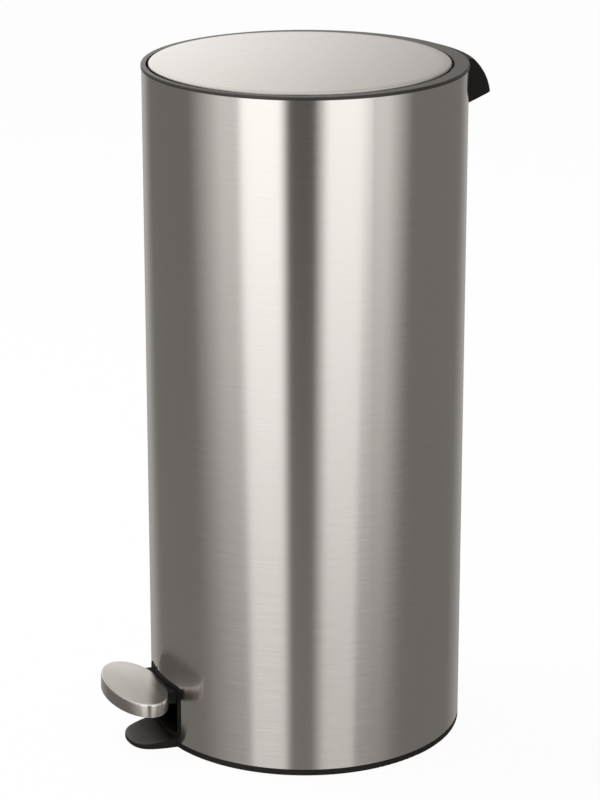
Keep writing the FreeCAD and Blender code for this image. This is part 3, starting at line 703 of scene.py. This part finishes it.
world = bpy.data.worlds.new("studio_world")
bpy.context.scene.world = world
world.use_nodes = True
f = Finish(world.node_tree)
strength = WORLD_LIGHT + f.plain_rays() * (1 - WORLD_LIGHT)
sky_light = f.node("ShaderNodeBackground", inputs={"Color": WHITE, "Strength": strength})
f.node("ShaderNodeOutputWorld", inputs={"Surface": sky_light})
print("world light:", WORLD_LIGHT)

# %% Ring of cards
CAMERA_TURN = 66.5
CARD_DISTANCE = 6.0
CARD_HEIGHT = 18.0
CARD_LEAN = 0.24
WARM_DARK = (1, 0.94, 0.89, 1)
WHITE_CARD = (1, 0.995, 0.985, 1)
CARD_SIDES = 128
# Heights in metres above the ring's middle: where each change starts, and how far it takes
FLOOR_TO_LEVEL = (-2.5, 1.8)
LEVEL_TO_HIGH = (0.8, 0.8)
HIGH_FADE = (1.7, 0.8)
HIGH_TO_SKY = (3.8, 1.2)
FADE_SHARE = 0.54
SKY_TONE = 0.75
# How fast a brighter card turns from the warm tint to the white one
CARD_WHITENING = 0.9
# Start and end in degrees round the bin from the camera, then three tones: near the
# floor, level with the bin and above it
cards = {
    "rear left": (-176, -155, 0.43, 0.48, 1.64),
    "left flat": (-140, -88, 0.22, 0.20, 0.24),
    "left grey": (-60, -48, 0.37, 0.90, 0.45),
    "left white": (-44, -18, 0.75, 1.66, 0.90),
    "lens gap": (-11, 6, 0.24, 0.11, 0.30),
    "right white": (17, 41, 0.64, 1.54, 0.75),
    "right grey": (45, 60, 0.33, 0.97, 0.52),
    "right flat": (80, 140, 0.21, 0.22, 0.45),
    "rear right": (160, 170, 0.38, 0.46, 0.15),
}


def card_stops(column):
    first, *_, last = cards.values()
    across = (180 - last[1]) / (first[0] + 360 - last[1])
    behind = last[column] + (first[column] - last[column]) * across
    edges = [(-180, behind)]
    for card in cards.values():
        edges += [(card[0], card[column]), (card[1], card[column])]
    edges.append((180, behind))
    return [((degrees + 180) / 360, (tone, tone, tone, 1)) for degrees, tone in edges]


def rise(height, change):
    start, length = change
    return ((height - start) / length).limited()


bpy.ops.mesh.primitive_cylinder_add(
    vertices=CARD_SIDES, radius=CARD_DISTANCE, depth=CARD_HEIGHT, end_fill_type="NOTHING")
ring = bpy.context.object
ring.name = "studio_cards"
card_tones, f = new_finish("card_tones")
x, y, z = f.place()
turn = math.radians(CAMERA_TURN)
ahead = x * math.sin(turn) - y * math.cos(turn)
right = x * math.cos(turn) + y * math.sin(turn)
turned = x.math("ARCTAN2", right, ahead) / math.pi
climb = rise(z, FLOOR_TO_LEVEL)
lean = (1 - climb) * (1 - abs(turned)) * CARD_LEAN
share = turned * (1 + lean) / 2 + 0.5
floor_tones, level_tones, high_tones = (
    f.node("ShaderNodeValToRGB", {"stops": card_stops(column)}, {0: share}) for column in (2, 3, 4))
lift = rise(z, LEVEL_TO_HIGH)
fade = rise(z, HIGH_FADE)
sky = rise(z, HIGH_TO_SKY)
light = floor_tones * (1 - climb) + level_tones * climb
light = light * (1 - lift) + high_tones * (1 - fade * FADE_SHARE) * lift
light = light * (1 - sky) + SKY_TONE * sky
card_colour = f.blend((light * CARD_WHITENING).limited(), WARM_DARK, WHITE_CARD)
lit = f.node("ShaderNodeVectorMath", {"operation": "SCALE"}, {0: card_colour, "Scale": light})
glow = f.node("ShaderNodeEmission", inputs={"Color": lit, "Strength": 1.0})
f.node("ShaderNodeOutputMaterial", inputs={"Surface": glow})
ring.data.materials.append(card_tones)
ring.visible_camera = False
ring.visible_diffuse = False
ring.visible_shadow = False
ring.visible_transmission = False
print("cards:", len(cards))

# %% [markdown]
# ## Lamp and camera
# One wide soft box hangs overhead, a little behind the bin and to the left, so that
# the tops get more light than the sides that face the camera.
# The camera stands where the photograph's perspective puts it: the rim's and the
# base's ovals fix its height, its distance and the length of its lens.

# %% Soft box
LAMP_SIZE = 1.8
LAMP_WATTS = 48.0
lamp_spot = Vector((-0.9, -0.9, 2.4))
lamp_aim = Vector((0, 0, 0.3)) - lamp_spot
lamp_turn = lamp_aim.to_track_quat("-Z", "Y").to_euler()
bpy.ops.object.light_add(type="AREA", location=lamp_spot, rotation=lamp_turn)
lamp = bpy.context.object
lamp.name = "soft_box"
lamp.data.shape = "DISK"
lamp.data.size = LAMP_SIZE
lamp.data.energy = LAMP_WATTS
lamp.visible_glossy = False
print("soft box watts:", LAMP_WATTS)

# %% Camera
CAMERA_REACH = 2.6555
CAMERA_HEIGHT = 1.2001
CAMERA_DIP = 18.318
CAMERA_AIM = 0.102
SENSOR_WIDTH = 36.0
LENS = 132.55
SIGHT_END = 50.0

camera_data = bpy.data.cameras.new("studio_camera")
camera = bpy.data.objects.new("studio_camera", camera_data)
bpy.context.scene.collection.objects.link(camera)
camera.location = (CAMERA_REACH * math.sin(turn), -CAMERA_REACH * math.cos(turn), CAMERA_HEIGHT)
camera.rotation_euler = (math.radians(90 - CAMERA_DIP), 0, turn + math.radians(CAMERA_AIM))
camera_data.sensor_width = SENSOR_WIDTH
camera_data.lens = LENS
camera_data.clip_end = SIGHT_END
bpy.context.scene.camera = camera
bpy.context.scene.view_settings.view_transform = "Standard"
print("camera at", [round(v, 3) for v in camera.location])
